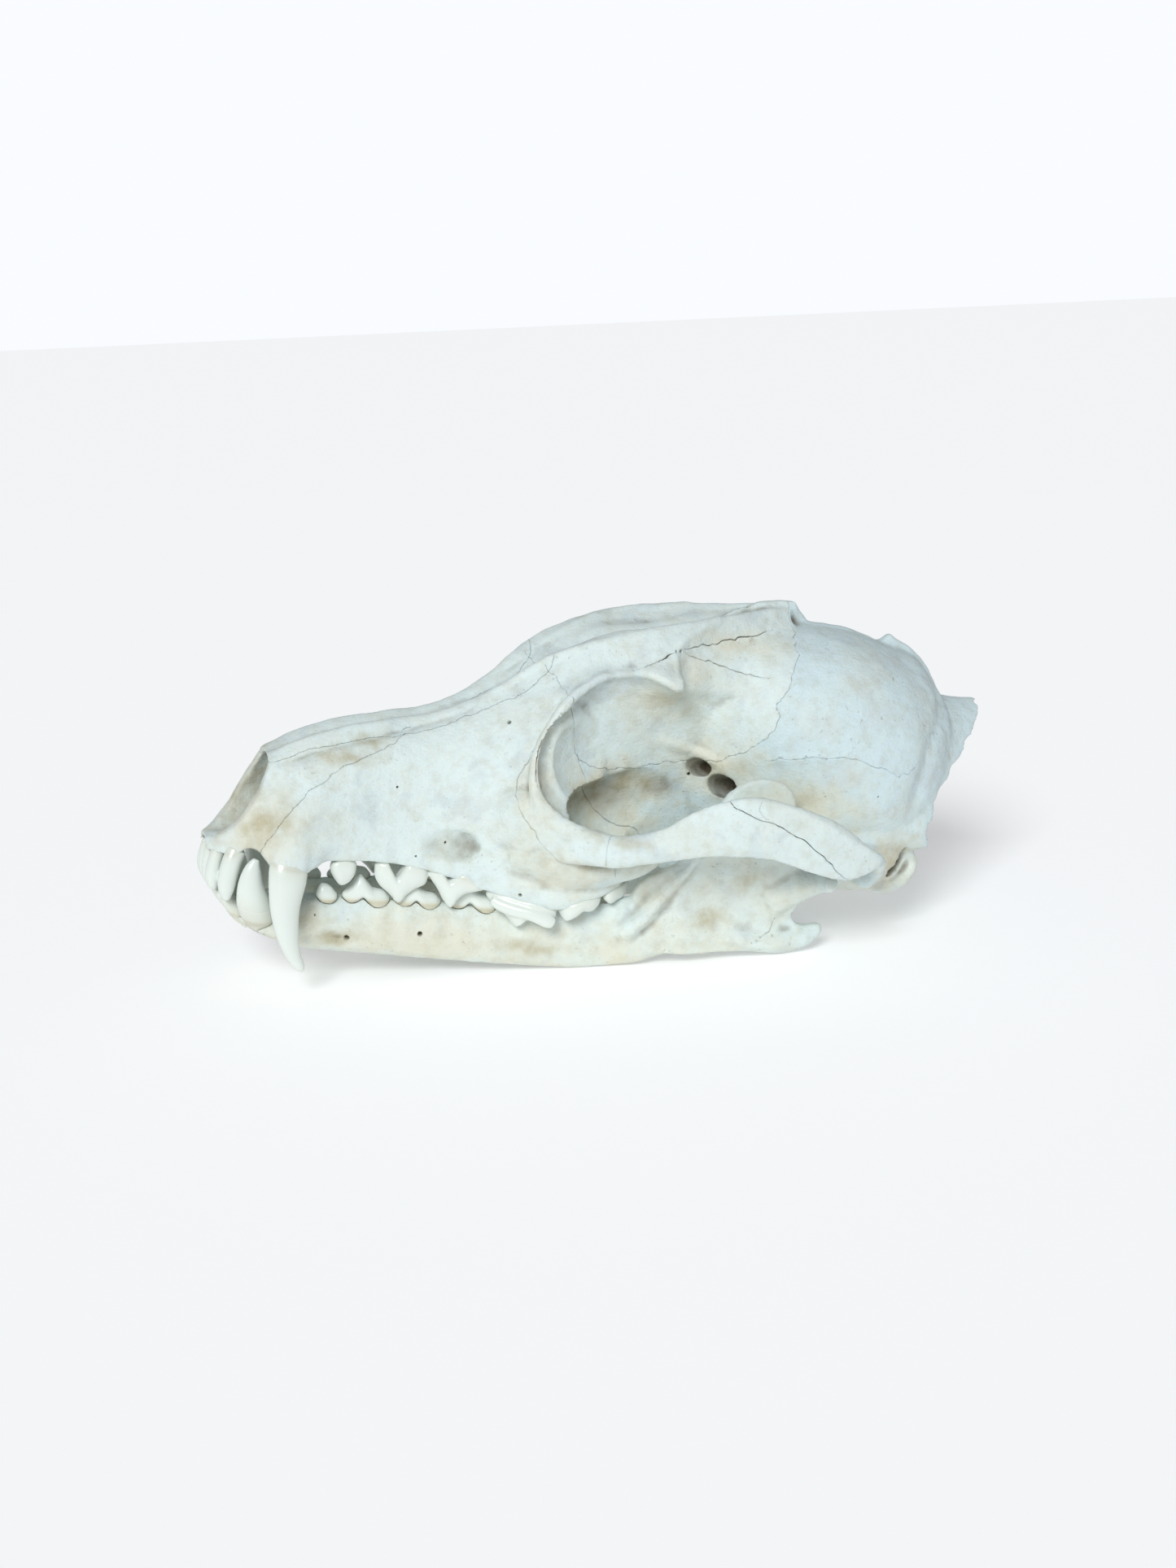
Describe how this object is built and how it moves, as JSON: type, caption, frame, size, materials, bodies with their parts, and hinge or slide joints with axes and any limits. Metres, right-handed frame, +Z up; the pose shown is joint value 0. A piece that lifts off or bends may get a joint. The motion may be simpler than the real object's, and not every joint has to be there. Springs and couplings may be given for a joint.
{
  "type": "fox skull",
  "caption": "Adult fox skull with its lower jaw closed and its teeth in place, lying on the jaw as bone at rest.",
  "frame": {"origin": "centre of the bounding box's base, on the surface that the skull lies on", "axes": "X along the skull from the front teeth at -X to the back crest at +X, Y to the animal's right, Z up"},
  "size_m": [0.1508, 0.0756, 0.0619],
  "materials": {
    "premaxilla_bone": "dry bone with tan stains, and smooth teeth",
    "maxilla_bone": "dry pale bone with fine grain, and smooth teeth",
    "nasal_bone": "dry pale bone",
    "frontal_bone": "dry pale bone with fine cracks",
    "braincase_bone": "dry cool white bone with a porous grain",
    "jugal_bone": "dry pale bone, smooth",
    "temporal_process_bone": "dry pale bone, smooth",
    "mandible_bone": "dry bone with ochre stains, and smooth teeth"
  },
  "bodies": {
    "root": {"braincase": "braincase_bone", "frontal_left": "frontal_bone", "frontal_right": "frontal_bone", "nasal_left": "nasal_bone", "nasal_right": "nasal_bone", "premaxilla_left": "premaxilla_bone", "premaxilla_right": "premaxilla_bone", "maxilla_left": "maxilla_bone", "maxilla_right": "maxilla_bone", "jugal_left": "jugal_bone", "jugal_right": "jugal_bone", "temporal_process_left": "temporal_process_bone", "temporal_process_right": "temporal_process_bone", "mandible_left": "mandible_bone", "mandible_right": "mandible_bone"}
  },
  "joints": []
}
